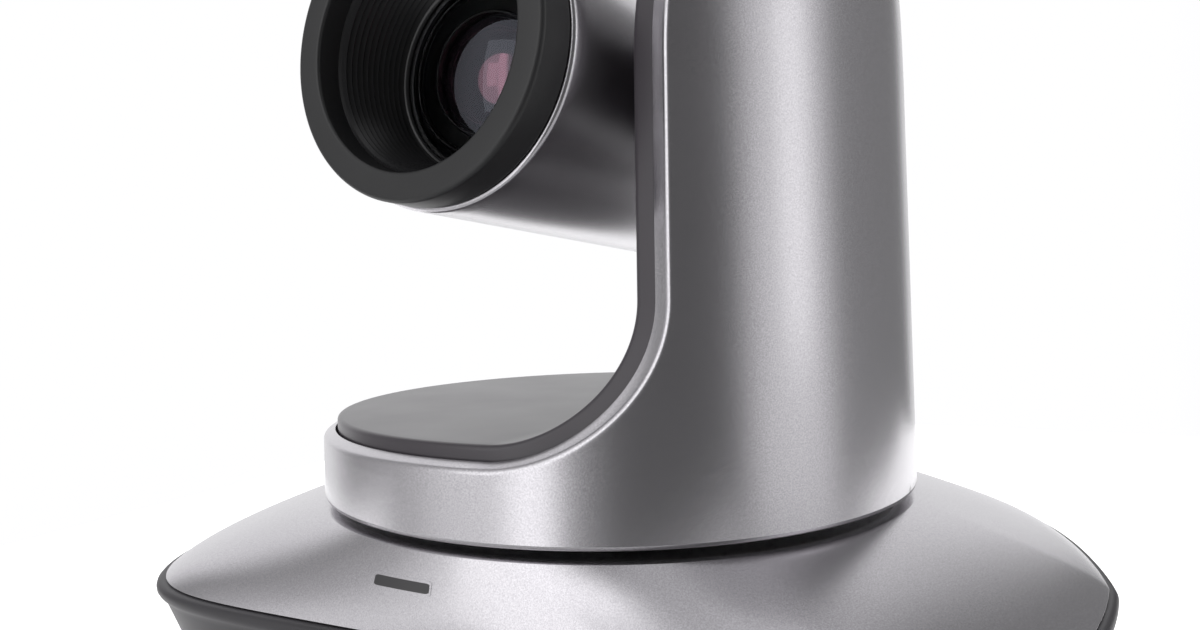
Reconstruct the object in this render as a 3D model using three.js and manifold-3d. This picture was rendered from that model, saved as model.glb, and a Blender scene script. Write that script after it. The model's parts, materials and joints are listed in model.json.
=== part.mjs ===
// A desktop pan-tilt-zoom camera: a fixed base with its sockets, a turntable that carries one arm, and a lens
// head that tilts on the arm. Millimetres, +Z up, origin under the middle of the base, lens towards -Y.
import * as THREE from "three";
import { mergeVertices } from "three/addons/utils/BufferGeometryUtils.js";
import Module from "manifold-3d";

const wasm = await Module();
wasm.setup();

// ---------------------------------------------------------------- driving dimensions
const gap = 0.3; // air between two pieces that touch
const runningGap = 0.2; // air round a shaft that turns

// Base: its outline is |x/halfWidth|^endSquareness + |y/halfDepth|^sideBow = 1
const baseHalfWidth = 79;
const baseHalfDepth = 54.6;
const endSquareness = 7.4;
const sideBow = 1.35;
const footHeight = 2.5;
const tubHeight = 22;
const tubTaper = 18; // degrees off vertical
const tubLip = 1.35; // how far the dark tub stands out past the silver cover
const tubWall = 2.6;
const coverRise = 11;
const coverWall = 2.2;
const plateThickness = 1.8;
const tripodThreadRadius = 3.1;
const tripodBushRadius = 6;
const tripodBushHeight = 9;
const footRadius = 7;
const footAcross = 54; // between the middle and a foot, along X
const footDeep = 31; // and along Y
const screwHeadRadius = 2.6;
const screwHeadHeight = 1.4;
const screwShankRadius = 1.2;

// Front window
const windowWidth = 9.8;
const windowHeight = 1.3;
const windowOffset = -8.8;
const windowDrop = 4.4; // below the top of the cover

// Rear sockets
const recessHalfWidth = 45;
const recessHeight = 15;
const panelInset = 9.3; // from the widest part of the base to the panel's back
const panelThickness = 1.4;
const trayRim = 1.2;
const boardThickness = 1.6;
const boardLevel = 7;
const socketReach = 1.2; // how far sockets stand out of the panel
const socketDepth = 13;

// Turntable and arm
const turretRadius = 52;
const turretTaper = 1.05; // degrees off vertical
const turretLift = 1.6; // air between the base's top and the turntable
const shellWall = 3.4;
const rimHeight = 11.1; // silver rim of the turntable
const armFace = 28.5; // from the pan axis to the arm's inner face
const armFillet = 21;
const linerProudLevel = 2; // of the liner over the turntable's rim
const linerProudSide = 3; // and over the arm's edge
const linerDepth = 1.6; // of the liner behind the arm's inner face
const tiltHeight = 63.2; // from the turntable's underside to the tilt axis
const turretPlateThickness = 2;

// Drives: gears of one module
const gearModule = 1;
const panTeeth = 48;
const pinionTeeth = 12;
const tiltTeeth = 36;
const gearThickness = 3.6;
const gearBacklash = 0.3; // added to each centre distance
const panShaftRadius = 13;
const panBore = 8; // the cables' way up through the pan shaft
const panBearingRadius = 22;
const tiltShaftRadius = 5;
const tiltBearingRadius = 8;
const motorRadius = 10;
const motorLength = 6;
const motorEar = 13; // from the motor's axis to each fixing post
const bracketThickness = 1.5;

// Head
const barrelRadius = 21.9;
const barrelWall = 2;
const barrelFront = 46.6; // from the tilt axis to the silver barrel's front edge
const barrelBack = 17;
const headBack = 31;
const hoodRadius = 21.4;
const hoodLength = 6; // of the ring that shows in front of the barrel
const hoodMouth = 17.3;
const hoodThroat = 15.2;
const hoodDepth = 17;
const hubRadius = 14;
const lensTubeRadius = 17.6;
const lensTubeWall = 1.4;
const lensTubeBack = 14;
const frontLensRadius = 14.6;
const frontLensEdge = 2.5;
const frontLensBulge = 3;
const carriageRadius = 15.4;
const carriageThickness = 3;
const movingLensRadius = 9;
const railRadius = 1;
const railOffset = 13;
const zoomPlace = 18; // rest places, in front of the tilt axis
const focusPlace = 2;
const rearLensPlace = -10.5;

// Where the head looks at rest
const restPan = -5; // degrees
const restTilt = 4;

// ---------------------------------------------------------------- worked-out levels
const lipLevel = footHeight + tubHeight;
const coverTop = lipLevel + coverRise;
const turretBottom = coverTop + turretLift;
const taperSlope = Math.tan(THREE.MathUtils.degToRad(turretTaper));
const shellRadiusAt = (z) => turretRadius - taperSlope * z;
const archRadius = Math.sqrt(shellRadiusAt(tiltHeight) ** 2 - armFace ** 2);
const archAnchor = armFace - 4; // plane that the arm's rounded top closes on
const turretSides = 52;
const gearRadius = (teeth) => (teeth * gearModule) / 2;
const gearDistance = (teeth) => gearRadius(teeth) + gearRadius(pinionTeeth) + gearBacklash / 2;
const plateTop = footHeight + plateThickness;

// ---------------------------------------------------------------- solids from three.js geometry
function toManifold(geometry) {
  const bare = geometry.clone();
  bare.deleteAttribute("normal");
  bare.deleteAttribute("uv");
  const merged = mergeVertices(bare, 1e-4);
  const index = merged.index.array;
  const triangles = [];
  for (let i = 0; i < index.length; i += 3) {
    const [a, b, c] = [index[i], index[i + 1], index[i + 2]];
    if (a !== b && b !== c && c !== a) triangles.push(a, b, c);
  }
  const build = (list) =>
    new wasm.Manifold(
      new wasm.Mesh({
        numProp: 3,
        vertProperties: merged.attributes.position.array,
        triVerts: new Uint32Array(list),
      }),
    );
  const made = build(triangles);
  return made.volume() > 0 ? made : build(triangles.reverse());
}

function toGeometry(manifold) {
  const { vertProperties, triVerts } = manifold.getMesh();
  const geometry = new THREE.BufferGeometry();
  geometry.setAttribute("position", new THREE.BufferAttribute(vertProperties, 3));
  geometry.setIndex(new THREE.BufferAttribute(triVerts, 1));
  geometry.computeVertexNormals();
  return geometry;
}

const combine = (how) => (first, ...others) =>
  toGeometry(others.reduce((solid, other) => solid[how](toManifold(other)), toManifold(first)));
const join = combine("add");
const cut = combine("subtract");
const meet = combine("intersect");

// A box between two corners.
function block([x0, y0, z0], [x1, y1, z1]) {
  const geometry = new THREE.BoxGeometry(x1 - x0, y1 - y0, z1 - z0);
  return geometry.translate((x0 + x1) / 2, (y0 + y1) / 2, (z0 + z1) / 2);
}

// A profile of [radius, height] pairs turned about Z.
function turned(profile, segments = 24) {
  const points = profile.map(([r, z]) => new THREE.Vector2(r, z));
  points.push(points[0].clone());
  return new THREE.LatheGeometry(points, segments).rotateX(Math.PI / 2);
}

const rod = (radius, z0, z1, segments = 20) => turned([[0, z0], [radius, z0], [radius, z1], [0, z1]], segments);

const tube = (outer, inner, z0, z1, segments = 24) =>
  turned([[inner, z0], [outer, z0], [outer, z1], [inner, z1]], segments);

const alongX = (geometry) => geometry.rotateY(Math.PI / 2); // +Z becomes +X
const alongLens = (geometry) => geometry.rotateX(Math.PI / 2); // +Z becomes -Y

// A flat outline in X and Y, raised from z0 to z1.
function slab(points, z0, z1) {
  const shape = new THREE.Shape(points);
  const geometry = new THREE.ExtrudeGeometry(shape, { depth: z1 - z0, bevelEnabled: false });
  return geometry.translate(0, 0, z0);
}

// Closed surface through rings of equal length: the rings run up the outside and back down the inside.
function ringLoft(rings) {
  const count = rings[0].length;
  const positions = rings.flat().flatMap((p) => [p.x, p.y, p.z]);
  const index = [];
  rings.forEach((ring, i) => {
    const next = (i + 1) % rings.length;
    ring.forEach((point, j) => {
      const k = (j + 1) % count;
      const [a, b, c, d] = [i * count + j, i * count + k, next * count + k, next * count + j];
      index.push(a, b, c, a, c, d);
    });
  });
  const geometry = new THREE.BufferGeometry();
  geometry.setAttribute("position", new THREE.Float32BufferAttribute(positions, 3));
  geometry.setIndex(index);
  return geometry;
}

// ---------------------------------------------------------------- outlines
// Distance from the middle to the base's outline in one direction, for an outline grown by `grow`.
function outlineReach(angle, grow) {
  const across = Math.abs(Math.cos(angle)) / (baseHalfWidth + grow);
  const deep = Math.abs(Math.sin(angle)) / (baseHalfDepth + grow);
  let [near, far] = [0, 2 * baseHalfWidth];
  for (let step = 0; step < 40; step++) {
    const middle = (near + far) / 2;
    const inside = (middle * across) ** endSquareness + (middle * deep) ** sideBow < 1;
    [near, far] = inside ? [middle, far] : [near, middle];
  }
  return near;
}

const baseSides = 56;

function baseRing(z, grow) {
  return Array.from({ length: baseSides }, (unused, i) => {
    const angle = (2 * Math.PI * i) / baseSides;
    const reach = outlineReach(angle, grow);
    return new THREE.Vector3(reach * Math.cos(angle), reach * Math.sin(angle), z);
  });
}

// Between the round top (share 0) and the base's outline (share 1).
function blendRing(z, share, shrink) {
  return baseRing(z, -shrink).map((edge) => {
    const round = new THREE.Vector3(edge.x, edge.y, 0).setLength(turretRadius - shrink);
    return new THREE.Vector3(round.x, round.y, z).lerp(edge, share).setZ(z);
  });
}

function circleRing(z, radius) {
  return Array.from({ length: baseSides }, (unused, i) => {
    const angle = (2 * Math.PI * i) / baseSides;
    return new THREE.Vector3(radius * Math.cos(angle), radius * Math.sin(angle), z);
  });
}

function gearOutline(teeth, phase = 0) {
  const pitch = (2 * Math.PI) / teeth;
  const radius = gearRadius(teeth);
  const corners = [
    [-0.29, radius - 1.2 * gearModule],
    [-0.12, radius + 0.8 * gearModule],
    [0.12, radius + 0.8 * gearModule],
    [0.29, radius - 1.2 * gearModule],
  ];
  return Array.from({ length: teeth }, (unused, tooth) =>
    corners.map(([share, r]) => {
      const angle = (tooth + share + phase) * pitch;
      return new THREE.Vector2(r * Math.cos(angle), r * Math.sin(angle));
    }),
  ).flat();
}

const gear = (teeth, phase, z0) => slab(gearOutline(teeth, phase), z0, z0 + gearThickness);

// The stepped line of the turntable's top and the arm's inner face, in X and Z, moved into the open by `level`
// over the turntable and by `side` at the arm.
function stepLine(level, side, reach) {
  const middle = new THREE.Vector2(armFace - armFillet, rimHeight + armFillet);
  const arc = Array.from({ length: 13 }, (unused, i) => {
    const angle = -Math.PI / 2 + (Math.PI / 2) * (i / 12);
    const x = middle.x + (armFillet - side) * Math.cos(angle);
    return new THREE.Vector2(x, middle.y + (armFillet - level) * Math.sin(angle));
  });
  const start = new THREE.Vector2(-reach, rimHeight + level);
  const end = new THREE.Vector2(armFace - side, tiltHeight + reach);
  return [start, ...arc, end];
}

// An outline in X and Z carried along Y over the whole turntable.
function acrossTurret(points) {
  const reach = 2 * turretRadius;
  return slab(points.map((p) => new THREE.Vector2(p.x, p.y)), -reach, reach).rotateX(Math.PI / 2);
}

// The turntable's and arm's outside, `inset` inside the silver shell's surface: a cone up to the tilt axis, and over
// it sections that shrink towards the anchor plane, in depth as a circle and in width as a blunter curve.
function turretRing(z, inset) {
  const radius = shellRadiusAt(z) - inset;
  const rise = Math.min(Math.max((z - tiltHeight) / (archRadius - inset), 0), 1);
  const wide = (1 - rise ** 4) ** 0.25;
  const deep = Math.sqrt(1 - rise ** 2);
  return Array.from({ length: turretSides }, (unused, i) => {
    const angle = (2 * Math.PI * i) / turretSides;
    const x = archAnchor + (radius * Math.cos(angle) - archAnchor) * wide;
    return new THREE.Vector3(x, radius * Math.sin(angle) * deep, z);
  });
}

function turretEnvelope(inset, z0) {
  const rises = [0, 0.22, 0.42, 0.6, 0.74, 0.86, 0.94, 0.985, 1];
  const levels = rises.map((rise) => tiltHeight + rise * (archRadius - inset));
  const centre = Array.from({ length: turretSides }, () => new THREE.Vector3(0, 0, z0));
  return ringLoft([centre, turretRing(z0, inset), ...levels.map((z) => turretRing(z, inset))]);
}

// ---------------------------------------------------------------- scene helpers
const finishes = {
  silver: { color: 0xb9b8bd, roughness: 0.38, metalness: 0.55 },
  darkPlastic: { color: 0x4c4a4e, roughness: 0.5, metalness: 0 },
  linerPlastic: { color: 0x56525a, roughness: 0.42, metalness: 0 },
  black: { color: 0x1b1b1d, roughness: 0.45, metalness: 0 },
  rubber: { color: 0x222224, roughness: 0.85, metalness: 0 },
  steel: { color: 0xa5a7aa, roughness: 0.35, metalness: 1 },
  brass: { color: 0xc29b4e, roughness: 0.35, metalness: 1 },
  gearPlastic: { color: 0xe6e2d6, roughness: 0.5, metalness: 0 },
  board: { color: 0x1c5a3a, roughness: 0.5, metalness: 0 },
  glass: { color: 0x20242c, roughness: 0.04, metalness: 0 },
  window: { color: 0x2b2a2e, roughness: 0.2, metalness: 0 },
};

const base = new THREE.Group();
const turret = new THREE.Group();
const head = new THREE.Group();
const camera = new THREE.Group();
turret.position.z = turretBottom;
turret.rotation.z = THREE.MathUtils.degToRad(restPan);
head.position.z = tiltHeight;
head.rotation.x = -THREE.MathUtils.degToRad(restTilt);
turret.add(head);
camera.add(base, turret);

function add(group, name, geometry, finish) {
  const mesh = new THREE.Mesh(toGeometry(toManifold(geometry)), new THREE.MeshStandardMaterial(finishes[finish]));
  mesh.name = name;
  group.add(mesh);
}

// Countersunk screw with its head's face at z, pointing up into the part.
function screw(x, y, z) {
  const head = turned(
    [[0, z], [screwHeadRadius, z], [screwShankRadius, z + screwHeadHeight], [screwShankRadius, z + 5], [0, z + 5]],
    12,
  );
  const slot = block([-1.6, -0.3, z - 1], [1.6, 0.3, z + 0.6]);
  return cut(head, slot).translate(x, y, 0);
}

const screwHole = (x, y, z) => {
  const r = screwHeadRadius + gap;
  const shank = screwShankRadius + gap;
  const profile = [[0, z - 1], [r, z - 1], [r, z], [shank, z + screwHeadHeight], [shank, z + 6], [0, z + 6]];
  return turned(profile, 12).translate(x, y, 0);
};

// Small stepper: a can with two ears, each with a post that reaches `reach` along +Z to what it is fixed to.
function stepper(reach) {
  const can = rod(motorRadius, -motorLength, 0);
  const ears = block([-3, -motorEar, -1.2], [3, motorEar, 0]);
  const posts = [-motorEar, motorEar].map((y) => rod(2.5, -1.2, reach, 12).translate(0, y, 0));
  return join(can, ears, ...posts);
}

// ---------------------------------------------------------------- base
const corners = [[1, 1], [-1, 1], [-1, -1], [1, -1]];
const postAcross = footAcross + 6;
const postDeep = footDeep - 10;

// Silver cover: a round seat for the turntable that spreads to the wide outline, open underneath.
function baseCover() {
  const steps = [0, 0.3, 0.6, 0.8, 0.9, 0.96, 1];
  const drop = (share) => coverRise * (0.8 * share + 0.1 * share ** 2 + 0.1 * share ** 10);
  const outside = steps.map((share) => blendRing(coverTop - drop(share), share, 0));
  const inside = [0, 0.5, 0.82].map((share) =>
    blendRing(coverTop - coverWall - drop(share) * 0.95, share, coverWall),
  );
  inside.push(baseRing(lipLevel, -coverWall));
  const opening = panBearingRadius + gap;
  const shell = ringLoft([
    circleRing(coverTop, opening),
    ...outside,
    ...inside.reverse(),
    circleRing(coverTop - coverWall, opening),
  ]);
  const [slotX, slotZ] = [windowWidth / 2 + gap, windowHeight / 2 + gap];
  const slotLevel = coverTop - windowDrop;
  const slot = block(
    [windowOffset - slotX, -baseHalfDepth - 5, slotLevel - slotZ],
    [windowOffset + slotX, -turretRadius + 6, slotLevel + slotZ],
  );
  return cut(shell, slot);
}

function frontWindow() {
  const level = coverTop - windowDrop;
  const front = -turretRadius - 0.2;
  const pane = block(
    [windowOffset - windowWidth / 2, front, level - windowHeight / 2],
    [windowOffset + windowWidth / 2, front + 4, level + windowHeight / 2],
  );
  return pane;
}

const tubInset = (z) => (lipLevel - z) * Math.tan(THREE.MathUtils.degToRad(tubTaper));
const recessBottom = footHeight + 3.6;
const panelBack = baseHalfDepth - panelInset;

// Dark tub: a tapering wall with four screw posts and the window for the sockets at the back.
function baseTub() {
  const top = lipLevel - gap;
  const outside = [footHeight, top - 4, top - 1.2, top].map((z, i) =>
    baseRing(z, tubLip - tubInset(z) + (i > 1 ? 0.4 : 0) - (i === 3 ? 0.8 : 0)),
  );
  const inside = [top, footHeight].map((z) => baseRing(z, tubLip - tubInset(z) - tubWall - 0.6));
  const wall = ringLoft([...outside, ...inside]);
  const recess = block(
    [-recessHalfWidth, panelBack - 6, recessBottom],
    [recessHalfWidth, baseHalfDepth + 9, recessBottom + recessHeight],
  );
  const posts = corners.map(([sx, sy]) => {
    const post = rod(3.6, plateTop + gap, top - 2, 14).translate(sx * postAcross, sy * postDeep, 0);
    const rib = block([-1.2, 0, plateTop + gap], [1.2, 22, top - 4]);
    rib.scale(1, sy, 1).translate(sx * postAcross, sy * postDeep, 0);
    return join(post, meet(rib, tubFill(tubLip - tubWall / 2)));
  });
  const holes = corners.map(([sx, sy]) =>
    rod(screwShankRadius + gap, plateTop, plateTop + 8, 12).translate(sx * postAcross, sy * postDeep, 0),
  );
  return cut(join(wall, ...posts), recess, ...holes);
}

// Solid inside the tub's tapering outline, grown by `grow`.
function tubFill(grow) {
  const [low, high] = [footHeight, lipLevel].map((z) => baseRing(z, grow - tubInset(z)));
  return ringLoft([circleRing(footHeight, 0), low, high, circleRing(lipLevel, 0)]);
}

// Steel plate that closes the tub, with spacers for the main board.
function bottomPlate() {
  const grow = tubLip - tubInset(footHeight) - tubWall - 0.6 - gap;
  const outline = baseRing(0, grow).map((p) => new THREE.Vector2(p.x, p.y));
  const plate = slab(outline, footHeight, plateTop);
  const spacers = corners.map(([sx, sy]) => rod(2.5, plateTop - 1, boardLevel - gap, 12).translate(sx * 36, sy * 20, 0));
  const bushHole = rod(tripodBushRadius + gap, 0, plateTop + 2);
  const holes = corners.map(([sx, sy]) => screwHole(sx * postAcross, sy * postDeep, footHeight));
  return cut(join(plate, ...spacers), bushHole, ...holes);
}

const rubberFoot = turned(
  [[0, 0], [footRadius - 0.6, 0], [footRadius, 0.6], [footRadius, footHeight - gap], [0, footHeight - gap]],
  20,
);

function tripodBush() {
  const top = footHeight + tripodBushHeight;
  const body = turned(
    [[0, footHeight], [tripodBushRadius, footHeight], [tripodBushRadius, top], [0, top]],
    24,
  );
  return cut(body, rod(tripodThreadRadius, 0, top - 1, 20));
}

// Sockets: [name, middle x, width, height, mouth width, mouth height, round]
const sockets = [
  ["dc_socket", -38.4, 9, 9.6, 6.4, 6.4, true],
  ["lan_socket", -24.6, 15.6, 10.2, 11.8, 7.6, false],
  ["hdmi_socket", -7.6, 15, 6.4, 13.6, 4.5, false],
  ["usb_socket", 7.2, 11.6, 10, 8.2, 7, false],
  ["serial_socket", 26.2, 13, 10.2, 8.4, 8.4, true],
  ["audio_socket", 38.2, 7.4, 8.4, 3.6, 3.6, true],
];
const socketFloor = boardLevel + boardThickness + gap;
const panelFront = panelBack + panelThickness;
const socketFront = panelFront + socketReach;

function socket(x, width, height, mouthWidth, mouthHeight, round) {
  const body = block(
    [x - width / 2, socketFront - socketDepth, socketFloor],
    [x + width / 2, socketFront, socketFloor + height],
  );
  const level = socketFloor + height / 2;
  const mouth = round
    ? rod(mouthWidth / 2, -1, 10, 20).rotateX(Math.PI / 2).translate(x, socketFront + 1, level)
    : block(
        [x - mouthWidth / 2, socketFront - 9, level - mouthHeight / 2],
        [x + mouthWidth / 2, socketFront + 1, level + mouthHeight / 2],
      );
  return cut(body, mouth);
}

const dialPlace = new THREE.Vector3(16.4, panelFront, socketFloor + 5);
const dialRadius = 1.6;

// A shallow tray set into the tub: the panel at its bottom and a rim that runs out to the tub's surface.
function rearPanel() {
  const [wide, low, high] = [recessHalfWidth - gap, recessBottom + gap, recessBottom + recessHeight - gap];
  const rimEnd = (z) => baseHalfDepth + tubLip - tubInset(z) - 0.9;
  const side = [[panelBack, low], [rimEnd(low), low], [rimEnd(high), high], [panelBack, high]];
  const whole = slab(side.map(([y, z]) => new THREE.Vector2(y, z)), -wide, wide);
  whole.rotateX(Math.PI / 2).rotateZ(Math.PI / 2);
  const hollow = block(
    [-wide + trayRim, panelFront, low + trayRim],
    [wide - trayRim, baseHalfDepth + 6, high - trayRim],
  );
  const holes = sockets.map(([name, x, width, height]) =>
    block(
      [x - width / 2 - gap, panelBack - 1, socketFloor - gap],
      [x + width / 2 + gap, panelFront + 1, socketFloor + height + gap],
    ),
  );
  const dialHole = rod(dialRadius + runningGap, -2, 4, 20).rotateX(Math.PI / 2);
  dialHole.translate(dialPlace.x, dialPlace.y + 1, dialPlace.z);
  return cut(whole, hollow, ...holes, dialHole);
}

function addressDial() {
  const body = rod(dialRadius, -0.4, 4, 20);
  const slot = block([-1.2, -0.3, -1], [1.2, 0.3, 0.2]);
  return cut(body, slot).rotateX(Math.PI / 2).translate(dialPlace.x, dialPlace.y, dialPlace.z);
}

const mainBoard = block(
  [-46, -30, boardLevel],
  [46, panelBack - gap, boardLevel + boardThickness],
);

// The pan bearing hangs in the cover's opening; the pan gear turns under it.
const bearingBottom = coverTop - coverWall - 1.5;
const panBearing = turned(
  [
    [panShaftRadius + runningGap, bearingBottom],
    [panBearingRadius + 2.5, bearingBottom],
    [panBearingRadius + 2.5, coverTop - coverWall - gap],
    [panBearingRadius, coverTop - coverWall - gap],
    [panBearingRadius, coverTop],
    [panShaftRadius + runningGap, coverTop],
  ],
  28,
);
const panGearBottom = bearingBottom - gap - gearThickness;
const panMotorTop = panGearBottom - 1;
const panMeshAngle = 0; // the pan motor stands on the +X side

add(base, "base_cover", baseCover(), "silver");
add(base, "base_tub", baseTub(), "darkPlastic");
add(base, "bottom_plate", bottomPlate(), "darkPlastic");
corners.forEach(([sx, sy], i) => {
  add(base, "foot_" + (i + 1), rubberFoot.clone().translate(sx * footAcross, sy * footDeep, 0), "rubber");
  add(base, "plate_screw_" + (i + 1), screw(sx * postAcross, sy * postDeep, footHeight), "steel");
});
add(base, "tripod_bush", tripodBush(), "brass");
add(base, "front_window", frontWindow(), "window");
add(base, "rear_panel", rearPanel(), "darkPlastic");
add(base, "main_board", cut(mainBoard, rod(tripodBushRadius + 1, 0, 20)), "board");
for (const [name, ...sizes] of sockets) add(base, name, socket(...sizes), "black");
add(base, "address_dial", addressDial(), "gearPlastic");
add(base, "pan_bearing", panBearing, "steel");
const panMotor = stepper(coverTop - coverWall - gap - panMotorTop).translate(gearDistance(panTeeth), 0, panMotorTop);
add(base, "pan_motor", panMotor, "steel");

// Pinion with its own shaft, which ends just clear of the motor can.
const pinionPhase = 0.5;
function pinion(z0) {
  return join(gear(pinionTeeth, pinionPhase, z0), rod(1.5, z0 - 1 + gap, z0 + gearThickness + 0.6, 12));
}
add(base, "pan_pinion", pinion(panGearBottom).translate(gearDistance(panTeeth), 0, 0), "brass");

// ---------------------------------------------------------------- turntable and arm (own frame, z from its underside)
function turretShell() {
  const whole = turretEnvelope(0, 0);
  const hollow = turretEnvelope(shellWall, -1);
  const line = stepLine(0, 0, 2 * turretRadius);
  const open = acrossTurret([...line, new THREE.Vector2(-2 * turretRadius, line[line.length - 1].y)]);
  return cut(whole, hollow, open);
}

// Liner that follows the step, inside the silver wall.
function innerLiner() {
  const reach = 2 * turretRadius;
  const face = stepLine(linerProudLevel, linerProudSide, reach);
  const band = acrossTurret([...face, ...stepLine(-linerDepth, -linerDepth, reach).reverse()]);
  const body = meet(band, turretEnvelope(shellWall + gap, 0));
  const hole = alongX(rod(tiltShaftRadius + 1, 0, reach)).translate(0, 0, tiltHeight);
  return cut(body, hole);
}

const turretScrewCircle = 40;
const turretScrewAngles = [90, 210, 330].map((a) => THREE.MathUtils.degToRad(a));
const turretPlateBottom = 0.8;
const turretPlateTop = turretPlateBottom + turretPlateThickness;

function turretPlate() {
  const radius = turretRadius - shellWall - gap - taperSlope * turretPlateTop;
  const disc = tube(radius, panShaftRadius + gap, turretPlateBottom, turretPlateTop, 32);
  const holes = turretScrewAngles.map((a) =>
    screwHole(turretScrewCircle * Math.cos(a), turretScrewCircle * Math.sin(a), turretPlateBottom),
  );
  return cut(disc, ...holes);
}

const gearTopInTurret = panGearBottom + gearThickness - turretBottom;
const panShaft = turned(
  [
    [panBore, gearTopInTurret - gearThickness - 1],
    [panShaftRadius - 2, gearTopInTurret - gearThickness - 1],
    [panShaftRadius - 2, gearTopInTurret + gap],
    [panShaftRadius, gearTopInTurret + gap],
    [panShaftRadius, turretPlateTop + gap],
    [panShaftRadius + 4, turretPlateTop + gap],
    [panShaftRadius + 4, turretPlateTop + gap + 1.5],
    [panBore, turretPlateTop + gap + 1.5],
  ],
  28,
);
// The gear is toothed in the base's frame, so the turntable's rest turn is taken out of its phase.
const panGearPhase = (panMeshAngle - restPan) / (360 / panTeeth);
const panGear = cut(
  gear(panTeeth, panGearPhase, gearTopInTurret - gearThickness),
  rod(panShaftRadius - 2 + gap, gearTopInTurret - 9, gearTopInTurret + 1, 28),
);

const linerBack = armFace + linerDepth;
const bracketBack = linerBack + gap + bracketThickness;
const tiltGearStart = bracketBack + gap;
const tiltMotorFace = tiltGearStart + gearThickness + 1;
const tiltMotorLevel = tiltHeight - gearDistance(tiltTeeth);

function tiltBracket() {
  const [bottom, top] = [turretPlateTop + gap, tiltHeight + 16];
  const plate = block([linerBack + gap, -18, bottom + 22], [bracketBack, 18, top]);
  const leg = block([linerBack + gap, -12, bottom], [bracketBack, 12, bottom + 24]);
  const foot = block([linerBack + gap, -12, bottom], [linerBack + 10, 12, bottom + bracketThickness]);
  const hole = alongX(rod(tiltBearingRadius + gap, 0, 60)).translate(0, 0, tiltHeight);
  return cut(join(plate, leg, foot), hole);
}

const tiltBearing = alongX(
  tube(tiltBearingRadius, tiltShaftRadius + runningGap, linerBack + gap, bracketBack, 20),
).translate(0, 0, tiltHeight);

// The motor's posts run back towards the bracket, so the stepper faces -X.
const tiltMotor = stepper(tiltMotorFace - bracketBack - gap)
  .rotateY(-Math.PI / 2)
  .translate(tiltMotorFace, 0, tiltMotorLevel);

function tiltPinion() {
  const body = join(gear(pinionTeeth, 0, 0), rod(1.5, 0, gearThickness + 1 - gap, 12));
  // alongX turns the outline's +X to -Z, so a tooth space faces the gear above after half a pitch.
  return alongX(body.rotateZ(Math.PI / pinionTeeth)).translate(tiltGearStart, 0, tiltMotorLevel);
}

add(turret, "turret_shell", turretShell(), "silver");
add(turret, "inner_liner", innerLiner(), "linerPlastic");
add(turret, "turret_plate", turretPlate(), "steel");
turretScrewAngles.forEach((a, i) => {
  const place = [turretScrewCircle * Math.cos(a), turretScrewCircle * Math.sin(a), turretPlateBottom];
  add(turret, "turret_screw_" + (i + 1), screw(...place), "steel");
});
add(turret, "pan_shaft", panShaft, "steel");
add(turret, "pan_gear", panGear, "gearPlastic");
add(turret, "tilt_bracket", tiltBracket(), "steel");
add(turret, "tilt_bearing", tiltBearing, "steel");
add(turret, "tilt_motor", tiltMotor, "steel");
add(turret, "tilt_pinion", tiltPinion(), "brass");

// ---------------------------------------------------------------- head (own frame: origin on the tilt axis, lens to -Y)
// Profiles here are [radius, distance in front of the tilt axis].
const hubStart = 19;
const hubEnd = armFace - linerProudSide - 0.6;

function headShell() {
  const barrel = turned(
    [
      [barrelRadius - barrelWall, -barrelBack],
      [barrelRadius, -barrelBack],
      [barrelRadius, barrelFront - 0.8],
      [barrelRadius - 0.8, barrelFront],
      [barrelRadius - barrelWall, barrelFront],
    ],
    40,
  );
  const hole = alongX(rod(hubRadius - 4 + gap, 0, 40));
  return cut(alongLens(barrel), hole);
}

// Dark rear cap with a rounded edge, open towards the front.
const rearCap = alongLens(
  turned(
    [
      [0, -headBack],
      [barrelRadius - 7, -headBack],
      [barrelRadius - 2.2, -headBack + 2],
      [barrelRadius - 0.2, -headBack + 6],
      [barrelRadius, -headBack + 9],
      [barrelRadius, -barrelBack - gap],
      [barrelRadius - barrelWall, -barrelBack - gap],
      [barrelRadius - barrelWall, -headBack + 9],
      [barrelRadius - 5, -headBack + 3.5],
      [0, -headBack + 2],
    ],
    32,
  ),
);

const hoodFront = barrelFront + gap + hoodLength;
const lensHood = alongLens(
  turned(
    [
      [hoodThroat, hoodFront - hoodDepth],
      [barrelRadius - barrelWall - gap, hoodFront - hoodDepth],
      [barrelRadius - barrelWall - gap, barrelFront + gap],
      [hoodRadius, barrelFront + gap],
      [hoodRadius, hoodFront - 0.7],
      [hoodRadius - 0.7, hoodFront],
      [hoodMouth, hoodFront],
    ],
    40,
  ),
);

// Where the hood ends, the lens tube begins.
const lensTubeFront = hoodFront - hoodDepth - gap;
const lensTube = alongLens(
  turned(
    [
      [lensTubeRadius - lensTubeWall, -lensTubeBack],
      [lensTubeRadius, -lensTubeBack],
      [lensTubeRadius, lensTubeFront],
      [frontLensRadius - 1, lensTubeFront],
      [frontLensRadius - 1, lensTubeFront - 1],
      [lensTubeRadius - lensTubeWall, lensTubeFront - 1],
    ],
    28,
  ),
);

// Front lens: a domed disc behind the tube's front ring.
const frontLensBack = lensTubeFront - 1 - gap - frontLensEdge;
function domedLens(radius, back, edge, bulge) {
  const dome = [3, 2, 1].map((i) => {
    const r = (radius - 1) * (i / 3);
    return [r, back + edge + bulge * (1 - (r / radius) ** 2)];
  });
  return turned([[0, back], [radius, back], [radius, back + edge], ...dome, [0, back + edge + bulge]], 24);
}
const frontLens = alongLens(
  meet(
    domedLens(frontLensRadius, frontLensBack, frontLensEdge, frontLensBulge),
    join(
      rod(frontLensRadius, frontLensBack, frontLensBack + frontLensEdge, 24),
      rod(frontLensRadius - 1 - gap, frontLensBack, frontLensBack + 20, 24),
    ),
  ),
);

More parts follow.
